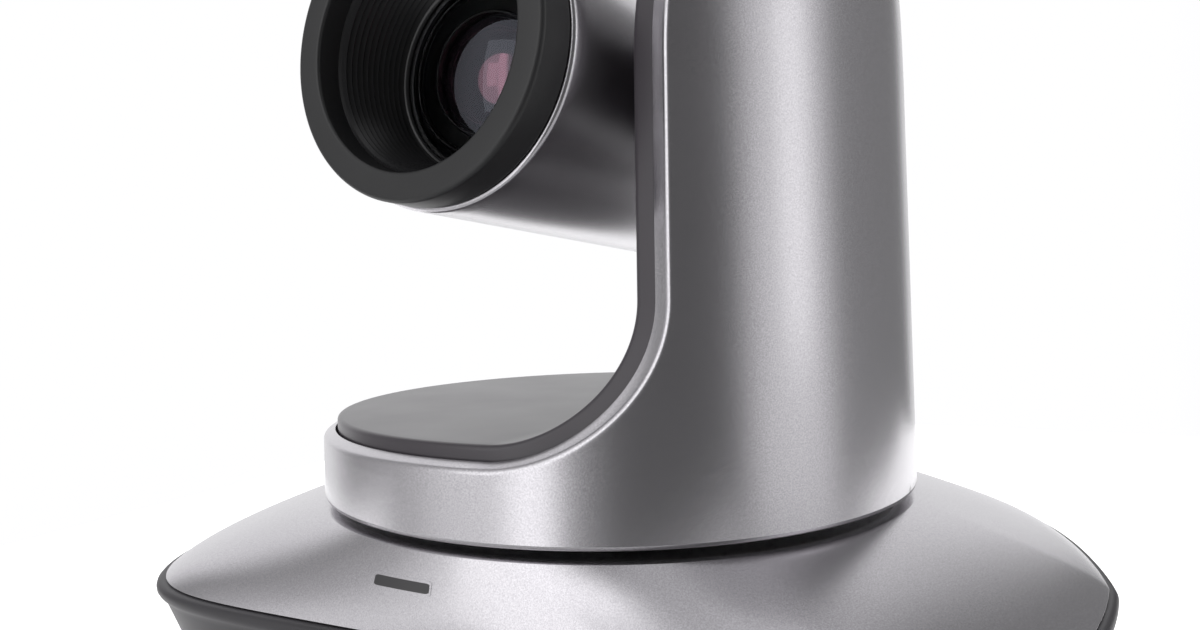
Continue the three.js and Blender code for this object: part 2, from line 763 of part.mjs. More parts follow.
const tiltHub = cut(
  alongX(tube(hubRadius, tiltShaftRadius + gap, hubStart, hubEnd, 24)),
  alongLens(rod(barrelRadius + gap, -hubRadius - 1, hubRadius + 1, 40)),
);
const hubSpigot = alongX(tube(hubRadius - 4, tiltShaftRadius + gap, hubStart - 0.4, hubStart + 4, 20));

const shaftStart = lensTubeRadius + 1;
const tiltShaft = alongX(
  turned(
    [
      [0, shaftStart],
      [tiltShaftRadius, shaftStart],
      [tiltShaftRadius, tiltGearStart - gap],
      [tiltShaftRadius - 2, tiltGearStart - gap],
      [tiltShaftRadius - 2, tiltGearStart + gearThickness + 0.6],
      [0, tiltGearStart + gearThickness + 0.6],
    ],
    24,
  ),
);
// The gear's teeth are set in the turntable's frame, so the head's rest tilt is taken out of its phase.
const tiltGearBody = cut(gear(tiltTeeth, 0, 0), rod(tiltShaftRadius - 2 + gap, -1, 10));
const tiltGear = alongX(tiltGearBody)
  .rotateX(THREE.MathUtils.degToRad(restTilt))
  .translate(tiltGearStart, 0, 0);

const railHoles = [-railOffset, railOffset].map((z) =>
  alongLens(rod(railRadius + runningGap, -60, 60, 12)).translate(0, 0, z),
);

function carriage(place, side) {
  const body = alongLens(tube(carriageRadius, movingLensRadius + gap, place, place + carriageThickness));
  return cut(body, ...railHoles);
}

function movingLens(place) {
  return alongLens(domedLens(movingLensRadius, place, carriageThickness - 1, 1));
}

const sensorPlace = -lensTubeBack - gap;
const sensorBoard = alongLens(
  slab(
    [[-13, -13], [13, -13], [13, 13], [-13, 13]].map(([x, y]) => new THREE.Vector2(x, y)),
    sensorPlace - 1.5,
    sensorPlace,
  ),
);
const imageSensor = alongLens(
  slab(
    [[-5, -4], [5, -4], [5, 4], [-5, 4]].map(([x, y]) => new THREE.Vector2(x, y)),
    sensorPlace + gap,
    sensorPlace + 1.6,
  ),
);
const railFront = frontLensBack - gap;
const rails = [-railOffset, railOffset].map((z) =>
  alongLens(rod(railRadius, rearLensPlace + carriageThickness + gap, railFront, 12)).translate(0, 0, z),
);
const rearLensMount = alongLens(
  tube(lensTubeRadius - lensTubeWall - gap, movingLensRadius + gap, rearLensPlace, rearLensPlace + carriageThickness),
);

add(head, "head_shell", headShell(), "silver");
add(head, "rear_cap", rearCap, "darkPlastic");
add(head, "lens_hood", lensHood, "black");
add(head, "lens_tube", lensTube, "black");
add(head, "front_lens", frontLens, "glass");
add(head, "tilt_hub", join(tiltHub, hubSpigot), "darkPlastic");
add(head, "tilt_shaft", tiltShaft, "steel");
add(head, "tilt_gear", tiltGear, "gearPlastic");
rails.forEach((rail, i) => add(head, "lens_rail_" + (i + 1), rail, "steel"));
add(head, "rear_lens_mount", rearLensMount, "black");
add(head, "rear_lens", movingLens(rearLensPlace), "glass");
add(head, "sensor_board", sensorBoard, "board");
add(head, "image_sensor", imageSensor, "window");
add(head, "zoom_carriage", carriage(zoomPlace), "black");
add(head, "zoom_lens", movingLens(zoomPlace), "glass");
add(head, "focus_carriage", carriage(focusPlace), "black");
add(head, "focus_lens", movingLens(focusPlace), "glass");

export default camera;
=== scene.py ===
"""Looks of a desktop pan-tilt-zoom camera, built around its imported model.

Lengths here are millimetres until they are written to a mesh. Three frames are used: the base's own, the
turntable's (turned by the rest pan angle) and the head's (origin on the tilt axis, the lens looking along its
third axis)."""

import json
import math

import bpy
import numpy as np
from mathutils import Matrix, Vector


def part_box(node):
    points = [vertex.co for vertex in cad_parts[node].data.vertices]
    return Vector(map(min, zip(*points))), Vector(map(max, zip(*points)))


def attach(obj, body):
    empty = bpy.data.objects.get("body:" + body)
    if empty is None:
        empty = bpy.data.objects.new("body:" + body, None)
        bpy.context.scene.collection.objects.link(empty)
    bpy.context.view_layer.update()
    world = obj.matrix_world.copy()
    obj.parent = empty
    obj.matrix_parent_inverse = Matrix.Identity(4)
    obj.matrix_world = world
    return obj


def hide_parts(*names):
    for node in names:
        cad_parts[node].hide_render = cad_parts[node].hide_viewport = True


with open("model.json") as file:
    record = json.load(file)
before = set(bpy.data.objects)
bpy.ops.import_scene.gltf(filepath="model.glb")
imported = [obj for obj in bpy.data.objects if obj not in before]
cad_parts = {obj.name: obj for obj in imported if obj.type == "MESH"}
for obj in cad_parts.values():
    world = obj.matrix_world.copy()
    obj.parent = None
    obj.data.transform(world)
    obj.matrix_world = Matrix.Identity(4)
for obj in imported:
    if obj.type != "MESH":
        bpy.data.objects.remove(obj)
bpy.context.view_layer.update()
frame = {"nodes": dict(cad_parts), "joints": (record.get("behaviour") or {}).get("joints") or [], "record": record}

# ---------------------------------------------------------------- frames, from the joints
joints = {j["name"]: j for j in frame["joints"]}
tilt_axis = np.array(joints["head_tilt"]["axis"])
lens_axis = np.array(joints["zoom"]["axis"])
PAN = math.atan2(-tilt_axis[1], -tilt_axis[0])
TILT = math.asin(lens_axis[2])
TURRET_Z = joints["pan"]["pos_m"][2] * 1000
TILT_Z = joints["head_tilt"]["pos_m"][2] * 1000


def turn_z(angle):
    c, s = math.cos(angle), math.sin(angle)
    return np.array([[c, -s, 0], [s, c, 0], [0, 0, 1]])


def turn_x(angle):
    c, s = math.cos(angle), math.sin(angle)
    return np.array([[1, 0, 0], [0, c, -s], [0, s, c]])


LENS_BASIS = np.array([[1, 0, 0], [0, 0, -1], [0, 1, 0]])  # third axis becomes -Y, second becomes +Z
BASE = (np.eye(3), np.zeros(3))
TURRET = (turn_z(PAN), np.array([0, 0, TURRET_Z]))
HEAD = (turn_z(PAN) @ turn_x(-TILT), np.array([0, 0, TILT_Z]))
LENS = (HEAD[0] @ LENS_BASIS, HEAD[1])


def span(node):
    low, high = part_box(node)
    return np.array(low) * 1000, np.array(high) * 1000


# ---------------------------------------------------------------- sizes shared with the solids
R = 52.0
TAPER = math.tan(math.radians(1.05))
RIM = 11.1
ARM_X = 28.5
FILLET = 21.0
AXIS_Z = TILT_Z - TURRET_Z
PROUD_LEVEL = 2.0  # of the liner over the rim
PROUD_SIDE = 3.0  # and over the arm's edge
ANCHOR_X = ARM_X - 4
ARCH = math.sqrt((R - TAPER * AXIS_Z) ** 2 - ARM_X**2)
COVER_TOP = span("base_cover")[1][2]
LIP_Z = span("base_cover")[0][2]
HALF_W = span("base_cover")[1][0]
HALF_D = span("base_cover")[1][1]
FOOT = span("bottom_plate")[0][2]
LIP = span("base_tub")[1][0] - HALF_W
TUB_TAPER = math.tan(math.radians(18))


# ---------------------------------------------------------------- mesh making
def quads(rows, cols, offset, flip):
    i, j = np.meshgrid(np.arange(rows - 1), np.arange(cols - 1), indexing="ij")
    a = (i * cols + j).ravel() + offset
    f = np.stack([a, a + cols, a + cols + 1, a + 1], 1)
    return f[:, ::-1] if flip else f


def piece(name, grids, place, body, material, flat=False, replaces=(), keep=None):
    """One mesh from grids of points G[u, v]; the outward normal is dG/du x dG/dv, or its opposite where the
    grid comes as (G, True). Points that coincide are merged, so grids that share an edge are one surface."""
    points, faces, count = [], [], 0
    for g in grids:
        g, flip = g if isinstance(g, tuple) else (g, False)
        faces.append(quads(g.shape[0], g.shape[1], count, flip))
        points.append(g.reshape(-1, 3))
        count += g.shape[0] * g.shape[1]
    points = np.concatenate(points)
    faces = np.concatenate(faces)
    keys, first, inverse = np.unique(np.round(points, 4), axis=0, return_index=True, return_inverse=True)
    points = points[first]
    faces = inverse.reshape(-1)[faces]
    polygons = []
    for f in faces.tolist():
        ring = [v for k, v in enumerate(f) if v != f[k - 1]]
        if len(set(ring)) == len(ring) and len(ring) > 2:
            polygons.append(ring)
    if keep is not None:
        polygons = [p for p in polygons if keep(points[p].mean(0))]
    rotation, shift = place
    world = (points @ rotation.T + shift) * 0.001
    mesh = bpy.data.meshes.new(name)
    mesh.from_pydata(world.tolist(), [], polygons)
    mesh.polygons.foreach_set("use_smooth", [not flat] * len(mesh.polygons))
    mesh.validate()
    obj = bpy.data.objects.new(name, mesh)
    bpy.context.scene.collection.objects.link(obj)
    mesh.materials.append(material)
    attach(obj, body)
    if replaces:
        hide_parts(*replaces)
    return obj


def rounded(corners, steps=5):
    """A line through corners (a, b, radius), each corner turned by a circular arc of that radius."""
    out = []
    n = len(corners)
    for i, (x, y, r) in enumerate(corners):
        p = np.array([x, y], float)
        if r <= 0 or i in (0, n - 1):
            out.append(p)
            continue
        before = np.array(corners[i - 1][:2]) - p
        after = np.array(corners[i + 1][:2]) - p
        before /= np.linalg.norm(before)
        after /= np.linalg.norm(after)
        half = math.acos(np.clip(before @ after, -1, 1)) / 2
        reach = r / math.tan(half)
        start, end = p + before * reach, p + after * reach
        centre = p + (before + after) / np.linalg.norm(before + after) * (r / math.sin(half))
        for t in np.linspace(0, 1, steps + 1):
            direction = (start - centre) * (1 - t) + (end - centre) * t
            out.append(centre + direction / np.linalg.norm(direction) * r)
    return np.array(out)


def lathe(profile, segments=128):
    """Profile (r, h) turned about the third axis: (r cos a, r sin a, h), up the outside, down the inside."""
    a = np.linspace(0, 2 * math.pi, segments + 1)[:, None]
    r, z = profile[:, 0][None, :], profile[:, 1][None, :]
    return np.stack([r * np.cos(a), r * np.sin(a), z + 0 * a], -1)


# ---------------------------------------------------------------- materials
class Nodes:
    """A small helper round a material's node tree."""

    def __init__(self, name, **values):
        self.material = bpy.data.materials.new(name)
        self.material.use_nodes = True
        self.tree = self.material.node_tree
        self.shader = self.tree.nodes["Principled BSDF"]
        for key, value in values.items():
            self.shader.inputs[key.replace("_", " ")].default_value = value

    def add(self, kind, **inputs):
        node = self.tree.nodes.new(kind)
        for key, value in inputs.items():
            socket = node.inputs[key.replace("_", " ")]
            if isinstance(value, bpy.types.NodeSocket):
                self.tree.links.new(value, socket)
            else:
                socket.default_value = value
        return node

    def link(self, output, name):
        self.tree.links.new(output, self.shader.inputs[name])

    def noise(self, scale, detail=2.0, roughness=0.5):
        place = self.tree.nodes.get("Texture Coordinate") or self.tree.nodes.new("ShaderNodeTexCoord")
        return self.add(
            "ShaderNodeTexNoise",
            Vector=place.outputs["Object"],
            Scale=scale,
            Detail=detail,
            Roughness=roughness,
        ).outputs["Fac"]

    def ramp(self, value, low, high, to_low, to_high):
        node = self.add("ShaderNodeMapRange", Value=value)
        for key, number in zip(("From Min", "From Max", "To Min", "To Max"), (low, high, to_low, to_high)):
            node.inputs[key].default_value = number
        return node.outputs["Result"]

    def mix(self, factor, a, b):
        node = self.tree.nodes.new("ShaderNodeMix")
        node.data_type = "RGBA"
        self.tree.links.new(factor, node.inputs[0])
        node.inputs[6].default_value = (*a, 1)
        node.inputs[7].default_value = (*b, 1)
        return node.outputs[2]

    def bump(self, height, strength, distance):
        node = self.add("ShaderNodeBump", Height=height, Strength=strength, Distance=distance)
        self.link(node.outputs["Normal"], "Normal")


def silver_paint():
    """Metallic paint: a clear film over flakes of slightly different brightness, 0.15 mm across."""
    m = Nodes("silver_paint", Metallic=0.95, Roughness=0.24)
    flakes = m.noise(5200, 1.0)
    patches = m.noise(35, 3.0)
    m.link(m.mix(m.ramp(flakes, 0.3, 0.7, 0, 1), (0.5, 0.485, 0.51), (0.63, 0.615, 0.64)), "Base Color")
    m.link(m.ramp(patches, 0.3, 0.7, 0.23, 0.26), "Roughness")
    m.bump(flakes, 0.06, 0.00003)
    return m.material


def moulded(name, dark, light, roughness, grain=2600, depth=0.00003, strength=0.25):
    """Moulded plastic: a fine spark-eroded grain, faint uneven tone and gloss."""
    m = Nodes(name, Roughness=roughness)
    tone = m.noise(60, 4.0)
    fine = m.noise(grain, 2.0)
    m.link(m.mix(m.ramp(tone, 0.3, 0.7, 0, 1), dark, light), "Base Color")
    m.link(m.ramp(tone, 0.3, 0.7, roughness - 0.015, roughness + 0.02), "Roughness")
    m.bump(fine, strength, depth)
    return m.material


def metal(name, a, b, roughness, stretch=(1, 1, 1), scale=900):
    """Machined metal: streaks of tone and gloss, drawn out along one direction."""
    m = Nodes(name, Metallic=1.0, Roughness=roughness)
    place = m.add("ShaderNodeTexCoord")
    scaled = m.add("ShaderNodeMapping", Vector=place.outputs["Object"])
    scaled.inputs["Scale"].default_value = stretch
    grain = m.add("ShaderNodeTexNoise", Vector=scaled.outputs["Vector"], Scale=scale, Detail=3.0)
    streak = grain.outputs["Fac"]
    m.link(m.mix(m.ramp(streak, 0.3, 0.7, 0, 1), a, b), "Base Color")
    m.link(m.ramp(streak, 0.3, 0.7, roughness - 0.06, roughness + 0.08), "Roughness")
    m.bump(streak, 0.1, 0.00003)
    return m.material


def board_material():
    """Green solder mask with pale printed pads in a fine cell pattern."""
    m = Nodes("circuit_board", Roughness=0.35)
    place = m.add("ShaderNodeTexCoord")
    cells = m.add("ShaderNodeTexVoronoi", Vector=place.outputs["Object"], Scale=420.0)
    pads = m.ramp(cells.outputs["Distance"], 0.12, 0.2, 1, 0)
    m.link(m.mix(pads, (0.02, 0.16, 0.07), (0.5, 0.45, 0.3)), "Base Color")
    m.link(m.ramp(cells.outputs["Distance"], 0.1, 0.3, 0.25, 0.4), "Roughness")
    return m.material


def coated_glass(name, tint, coat, roughness=0.015):
    """Optical glass with a coloured anti-reflection film; a faint smear changes its gloss."""
    m = Nodes(name, Roughness=roughness, IOR=1.6)
    m.shader.inputs["Transmission Weight"].default_value = 1.0
    m.shader.inputs["Specular Tint"].default_value = (*coat, 1)
    smear = m.noise(90, 2.0)
    m.link(m.mix(m.ramp(smear, 0.3, 0.7, 0, 1), tint, tuple(0.96 * c for c in tint)), "Base Color")
    m.link(m.ramp(smear, 0.4, 0.8, roughness * 0.6, roughness * 1.8), "Roughness")
    return m.material


SILVER = silver_paint()
DARK = moulded("dark_plastic", (0.045, 0.042, 0.047), (0.052, 0.049, 0.055), 0.46)
LINER = moulded("liner_plastic", (0.066, 0.058, 0.067), (0.07, 0.062, 0.072), 0.31, 3200, 0.00002, 0.15)
BLACK = moulded("black_plastic", (0.016, 0.016, 0.017), (0.024, 0.024, 0.025), 0.42)
DEEP = moulded("lens_black", (0.02, 0.02, 0.021), (0.028, 0.028, 0.03), 0.26)
RUBBER = moulded("rubber", (0.02, 0.02, 0.02), (0.035, 0.034, 0.033), 0.8, 1500, 0.0001, 0.5)
ACETAL = moulded("gear_plastic", (0.74, 0.71, 0.62), (0.82, 0.79, 0.7), 0.4)
SMOKED = moulded("window_plastic", (0.05, 0.048, 0.05), (0.065, 0.062, 0.065), 0.3)
STEEL = metal("steel", (0.5, 0.51, 0.52), (0.66, 0.67, 0.68), 0.3, (1, 1, 0.1))
BLACK_PAINT = moulded("black_paint", (0.03, 0.03, 0.031), (0.045, 0.045, 0.046), 0.5, 1800, 0.00006, 0.4)
BRASS = metal("brass", (0.66, 0.47, 0.2), (0.8, 0.6, 0.3), 0.28, (1, 1, 0.15))
BOARD = board_material()
GLASS = coated_glass("lens_glass", (0.9, 0.93, 0.95), (0.75, 0.9, 1.0))
FRONT_GLASS = coated_glass("front_glass", (0.8, 0.8, 0.82), (0.8, 0.85, 1.0), 0.01)
PINK_GLASS = moulded(
    "coated_inner_glass", (0.012, 0.006, 0.01), (0.018, 0.009, 0.014), 0.06, 2600, 0.000002, 0.02
)
PINK_SHADER = PINK_GLASS.node_tree.nodes["Principled BSDF"]
PINK_SHADER.inputs["IOR"].default_value = 2.4
PINK_SHADER.inputs["Specular Tint"].default_value = (1.0, 0.45, 0.6, 1)

by_slot = {
    "silver_paint": SILVER,
    "dark_plastic": DARK,
    "liner_plastic": LINER,
    "black_plastic": BLACK,
    "black_paint": BLACK_PAINT,
    "rubber": RUBBER,
    "steel": STEEL,
    "brass": BRASS,
    "gear_plastic": ACETAL,
    "circuit_board": BOARD,
    "lens_glass": GLASS,
    "window_plastic": SMOKED,
}
slots = {s["node"]: s["material_slot"] for s in frame["record"]["subparts"]}
for node, obj in frame["nodes"].items():
    obj.data.materials.clear()
    obj.data.materials.append(by_slot[slots[node]])


# ---------------------------------------------------------------- turntable and arm
def shell_point(angle, z, inset=0.0):
    """The turntable's outside. Up to the tilt axis it is a cone, R - TAPER z. Above it, at height h over the
    axis, the section keeps its anchor plane and shrinks: depth by sqrt(1 - (h/H)^2), width by
    (1 - (h/H)^4)^(1/4)."""
    angle, z = np.broadcast_arrays(np.asarray(angle, float), np.asarray(z, float))
    r = R - TAPER * z - inset
    h = np.clip((z - AXIS_Z) / (ARCH - inset), 0, 1)
    wide = (1 - h**4) ** 0.25
    deep = np.sqrt(1 - h**2)
    x = ANCHOR_X + (r * np.cos(angle) - ANCHOR_X) * wide
    x = np.where(z > AXIS_Z, x, r * np.cos(angle))
    return np.stack([x, r * np.sin(angle) * deep, z], -1)


def shell_angle(x, z, inset=0.0):
    """The angle at which the outside has this x, on the y > 0 half."""
    r = R - TAPER * z - inset
    h = np.clip((z - AXIS_Z) / (ARCH - inset), 0, 1)
    wide = np.maximum((1 - h**4) ** 0.25, 1e-6)
    base_x = np.where(z > AXIS_Z, ANCHOR_X + (x - ANCHOR_X) / wide, x)
    return np.arccos(np.clip(base_x / r, -1, 1))


FLAT_END = ARM_X - FILLET  # the step line: level up to here, a quarter circle, then straight up
ARC = FILLET * math.pi / 2


def step_point(q, y, proud=0.0, liner=0.0):
    """A point of the stepped face at distance q along its line from the level part's end, `proud` above it,
    and raised by `liner` times the liner's own height, which grows from the level part to the upright one."""
    q, y = np.broadcast_arrays(np.asarray(q, float), np.asarray(y, float))
    turn = np.clip(q / FILLET, 0, math.pi / 2)
    x = np.where(q < 0, FLAT_END + q, FLAT_END + FILLET * np.sin(turn))
    z = RIM + FILLET * (1 - np.cos(turn)) + np.maximum(q - ARC, 0)
    side, level = proud + liner * PROUD_SIDE, proud + liner * PROUD_LEVEL
    return np.stack([x - np.sin(turn) * side, y, z + np.cos(turn) * level], -1)


def outline(samples=420):
    """Half of the stepped face's outline, y >= 0, as (q, y), evenly spaced along its length."""
    q_top = ARC + AXIS_Z + ARCH - RIM - FILLET
    left = -(R - TAPER * RIM) - FLAT_END
    q = np.concatenate(
        [
            left + (0 - left) * (1 - np.cos(np.linspace(0, math.pi / 2, 1500))),
            np.linspace(0, q_top, 6000)[1:-1],
            q_top - 0.01 * np.linspace(1, 0, 400)[1:] ** 2,
        ]
    )
    q = np.sort(q)
    p = step_point(q, 0)
    angle = shell_angle(p[:, 0], p[:, 2])
    y = shell_point(angle, p[:, 2])[:, 1]
    y[0] = y[-1] = 0
    length = np.concatenate([[0], np.cumsum(np.hypot(np.diff(q), np.diff(y)))])
    s = np.linspace(0, length[-1], samples)
    return np.interp(s, length, q), np.interp(s, length, y)


Q, Y = outline()


def inward(distance):
    """The outline moved inwards by this much, in the unrolled face."""
    tangent = np.stack([np.gradient(Q), np.gradient(Y)], 1)
    tangent[0] = (0, 1)
    tangent[-1] = (0, -1)
    tangent /= np.linalg.norm(tangent, axis=1)[:, None]
    q, y = Q + tangent[:, 1] * distance, Y - tangent[:, 0] * distance
    y[0] = y[-1] = 0
    return q, np.maximum(y, 0)


def mirrored(half):
    """A loop of points from its y >= 0 half: up one side and down the other. Works on arrays [i, ..., 3]."""
    other = half[::-1].copy()
    other[..., 1] *= -1
    return np.concatenate([half, other[1:]])


def smooth_corner(a, corner, b, steps=7):
    """Rows of points between a and b, bent towards the corner: (1-t)^2 a + 2 t (1-t) corner + t^2 b."""
    t = np.linspace(0, 1, steps)[None, :, None]
    return (1 - t) ** 2 * a[:, None] + 2 * t * (1 - t) * corner[:, None] + t**2 * b[:, None]


def growing(low, high):
    """low on the level part of the outline, high on the arm, blended by t^2 (3 - 2 t) over the fillet."""
    t = np.clip(Q / ARC, 0, 1)
    return low + (high - low) * t * t * (3 - 2 * t)


CONE_REACH = growing(1.0, 3.2)  # reach of the chamfer on the outside
FACE_REACH = growing(1.9, 3.3)  # and on the stepped face
SOFT = 0.6  # reach of the rounding at the chamfer's outer edge
BAND_GAP = 0.35

edge = step_point(Q, Y)
level = edge[:, 2] <= RIM + 1e-6
first_up = int(np.argmax(~level))
angles = shell_angle(edge[:, 0], edge[:, 2])
angles[0], angles[-1] = math.pi, 0
tangent = np.gradient(edge, axis=0)
tangent /= np.linalg.norm(tangent, axis=1)[:, None]
normal = shell_point(angles, edge[:, 2]) - shell_point(angles, edge[:, 2], 1.0)
normal /= np.linalg.norm(normal, axis=1)[:, None]
away = np.cross(tangent, normal)
away /= np.linalg.norm(away, axis=1)[:, None]
away *= np.where(away[:, 2] > 0, -1, 1)[:, None]


def rise_at(x):
    """Height over the tilt axis where the outside closes at this x: H (1 - ((x - a) / (r - a))^4)^(1/4)."""
    r = R - TAPER * (AXIS_Z + ARCH)
    return ARCH * (1 - np.clip((x - ANCHOR_X) / (r - ANCHOR_X), 0, 1) ** 4) ** 0.25


above = edge[:, 2] > AXIS_Z
share_up = np.clip((edge[:, 2] - AXIS_Z) / (edge[-1, 2] - AXIS_Z), 0, 1)
sideways = 1 - (1 - away[int(np.argmax(above)) - 1, 0]) * (1 - share_up**2)


def cone_line(distance):
    """The outline moved this far along the outside: its angles, heights and points. Over the tilt axis it
    moves sideways, and its height shrinks with the height at which the outside closes."""
    below = edge + away * distance[:, None]
    over_x = ARM_X + distance * sideways
    over_z = AXIS_Z + share_up * rise_at(over_x)
    x = np.where(above, over_x, below[:, 0])
    z = np.where(above, over_z, np.where(level, RIM - distance, below[:, 2]))
    angle = np.where(level, angles, shell_angle(x, z))
    angle[-1] = 0
    z = np.maximum.accumulate(z)
    return angle, z, shell_point(angle, z)


below_angle, rising, skin_edge = cone_line(CONE_REACH + SOFT)
chamfer_edge = cone_line(CONE_REACH)[2]
q2, y2 = inward(FACE_REACH)
band_end = step_point(q2, y2)
band_down = step_point(q2, y2, -2.0)
across_chamfer = band_end - chamfer_edge
across_chamfer /= np.linalg.norm(across_chamfer, axis=1)[:, None]
soft_end = chamfer_edge + across_chamfer * SOFT
inner_soft = band_end - across_chamfer * 0.25
inner_low = step_point(q2, y2, -0.25)
join_angle = below_angle[first_up - 1]

foot_z = 0.7
low_rows = np.linspace(foot_z, RIM - CONE_REACH[0] - SOFT, 6)
columns = np.linspace(-1, 1, 181)
disc_angles = below_angle[:first_up]


def cone_rows(levels, halves):
    """Rows [level, column] over the arm: each from -half to +half angle."""
    return shell_point(halves[:, None] * columns[None, :], levels[:, None])


arm_levels = np.concatenate([low_rows, rising[first_up:]])
arm_halves = np.concatenate([np.full(len(low_rows), join_angle), below_angle[first_up:]])
arm_skin = cone_rows(arm_levels, arm_halves).transpose(1, 0, 2)
rim_skin = mirrored(shell_point(disc_angles[:, None], low_rows[None, :])[::-1])
corner_rows = smooth_corner(skin_edge, chamfer_edge, soft_end, 6)
inner_rows = smooth_corner(inner_soft, band_end, inner_low, 4)


def foot_ring(points_angle):
    """The turntable's bottom edge: a small chamfer, a flat and the inside of the wall."""
    steps = [(0.0, foot_z), (0.1, 0.3), (0.35, 0.05), (0.6, 0.0), (3.0, 0.0), (3.3, 0.3), (3.3, 5.0)]
    return np.stack([shell_point(points_angle, z, inset) for inset, z in steps], 1)


whole = np.linspace(0, 2 * math.pi, 361)
piece(
    "turret_shell_skin",
    [
        arm_skin,
        rim_skin,
        (mirrored(corner_rows), True),
        (mirrored(np.stack([soft_end, inner_soft], 1)), True),
        (mirrored(inner_rows), True),
        (mirrored(np.stack([inner_low, band_down], 1)), True),
        (foot_ring(whole), True),
    ],
    TURRET,
    "turret",
    SILVER,
    replaces=["turret_shell"],
)

# liner: a proud face with a rounded edge, over the same outline
q3, y3 = inward(FACE_REACH + BAND_GAP)
q4, y4 = inward(FACE_REACH + BAND_GAP + 0.8)
side_low = step_point(q3, y3, -2.0)
side_high = step_point(q3, y3, -0.8, 1)
crown = step_point(q3, y3, 0, 1)
face_edge = step_point(q4, y4, 0, 1)
across = np.linspace(1, -1, 61)
face = step_point(q4[:, None], y4[:, None] * across[None, :], 0, 1)
piece(
    "inner_liner_skin",
    [
        (mirrored(np.stack([side_low, side_high], 1)), False),
        (mirrored(smooth_corner(side_high, crown, face_edge)), False),
        (face, False),
    ],
    TURRET,
    "turret",
    LINER,
    replaces=["inner_liner"],
)


# ---------------------------------------------------------------- base
def reach(angle, grow):
    """Distance from the middle to the outline |x/a|^7.4 + |y/b|^1.35 = 1 in one direction, by halving."""
    across_, deep_ = np.abs(np.cos(angle)) / (HALF_W + grow), np.abs(np.sin(angle)) / (HALF_D + grow)
    near, far = np.zeros_like(angle), np.full_like(angle, 2 * HALF_W)
    for _ in range(44):
        middle = (near + far) / 2
        inside = (middle * across_) ** 7.4 + (middle * deep_) ** 1.35 < 1
        near, far = np.where(inside, middle, near), np.where(inside, far, middle)
    return near


def cover_drop(share):
    return (COVER_TOP - LIP_Z) * (0.8 * share + 0.1 * share**2 + 0.1 * share**10)


def cover_point(angle, share):
    """Between the round seat (share 0) and the base's outline (share 1): radius blends, height drops."""
    angle, share = np.broadcast_arrays(angle, share)
    radius = R * (1 - share) + reach(angle, 0.0) * share
    return np.stack([radius * np.cos(angle), radius * np.sin(angle), COVER_TOP - cover_drop(share)], -1)


around = np.linspace(0, 2 * math.pi, 481)[:, None]
share = (1 - np.cos(np.linspace(0, math.pi, 40))) / 2
seat = np.array([22.4, 30, 40, 48])[None, :]
seat_rows = np.stack([seat * np.cos(around), seat * np.sin(around), 0 * seat * around + COVER_TOP], -1)
skirt = cover_point(around, share[None, :])


def base_ring(angle, grow, z):
    """The base's outline, moved out by `grow`, as points at one height."""
    r = reach(angle, grow)
    return np.stack([r * np.cos(angle), r * np.sin(angle), 0 * angle + z], -1)[:, 0]


under_steps = ((0.0, LIP_Z), (-0.5, LIP_Z - 0.25), (-2.0, LIP_Z - 0.25))
turned_under = np.stack([base_ring(around, grow, z) for grow, z in under_steps], 1)
piece(
    "base_cover_skin",
    [(seat_rows, True), (np.concatenate([seat_rows[:, -1:], skirt], 1), True), (turned_under, True)],
    BASE,
    "base",
    SILVER,
    replaces=["base_cover"],
)

# dark tub: lip, tapering wall, flat foot; the recess for the sockets is left open at the back
RECESS_X = span("rear_panel")[1][0] + 0.3
RECESS_LOW = span("rear_panel")[0][2] - 0.3
RECESS_HIGH = span("rear_panel")[1][2] + 0.3
back = [a for a in np.linspace(0, math.pi, 4001)]
back_x = reach(np.array(back), LIP - 4.0) * np.cos(back)
cut_a, cut_b = np.interp([RECESS_X, -RECESS_X], back_x[::-1], np.array(back)[::-1])
tub_angles = np.concatenate(
    [
        np.linspace(0, cut_a, 61)[:-1],
        np.linspace(cut_a, cut_b, 101)[:-1],
        np.linspace(cut_b, math.pi, 61)[:-1],
        np.linspace(math.pi, 2 * math.pi, 221),
    ]
)[:, None]
wall = [
    (-1.6, LIP_Z - 0.3),
    (LIP - 0.85, LIP_Z - 0.3),
    (LIP - 0.4, LIP_Z - 0.42),
    (LIP - 0.12, LIP_Z - 0.75),
    (LIP, LIP_Z - 1.25),
    (LIP - 0.05, LIP_Z - 1.75),
    (LIP - 0.35, LIP_Z - 2.3),
    (LIP - 0.9, LIP_Z - 2.75),
]
wall += [(LIP - 0.9 - (LIP_Z - 2.75 - z) * TUB_TAPER, z) for z in (RECESS_HIGH, 14.0, RECESS_LOW, FOOT + 0.8)]
wall += [(wall[-1][0] - 0.6, FOOT + 0.15), (wall[-1][0] - 1.6, FOOT), (wall[-1][0] - 3.2, FOOT)]


tub_grid = np.stack([base_ring(tub_angles, grow, z) for grow, z in wall], 1)


def outside_recess(p):
    return not (p[1] > 0 and abs(p[0]) < RECESS_X - 0.1 and RECESS_LOW < p[2] < RECESS_HIGH)


window = slice(60, 161)
low_edge = tub_grid[window, wall.index(next(w for w in wall if w[1] == RECESS_LOW))]
high_edge = tub_grid[window, wall.index(next(w for w in wall if w[1] == RECESS_HIGH))]
inner_y = span("rear_panel")[1][1] - 6.5
jambs = []
for line, turn in ((low_edge, False), (high_edge, True)):
    deep_line = line.copy()
    deep_line[:, 1] = inner_y
    jambs.append((np.stack([line, deep_line], 1), turn))
for k, turn in ((0, False), (-1, True)):
    upright = np.stack([low_edge[k], high_edge[k]])
    deep_line = upright.copy()
    deep_line[:, 1] = inner_y
    jambs.append((np.stack([upright, deep_line], 1), turn))
piece(
    "base_tub_skin",
    [(tub_grid, True), *jambs],
    BASE,
    "base",
    DARK,
    replaces=["base_tub"],
    keep=outside_recess,
)

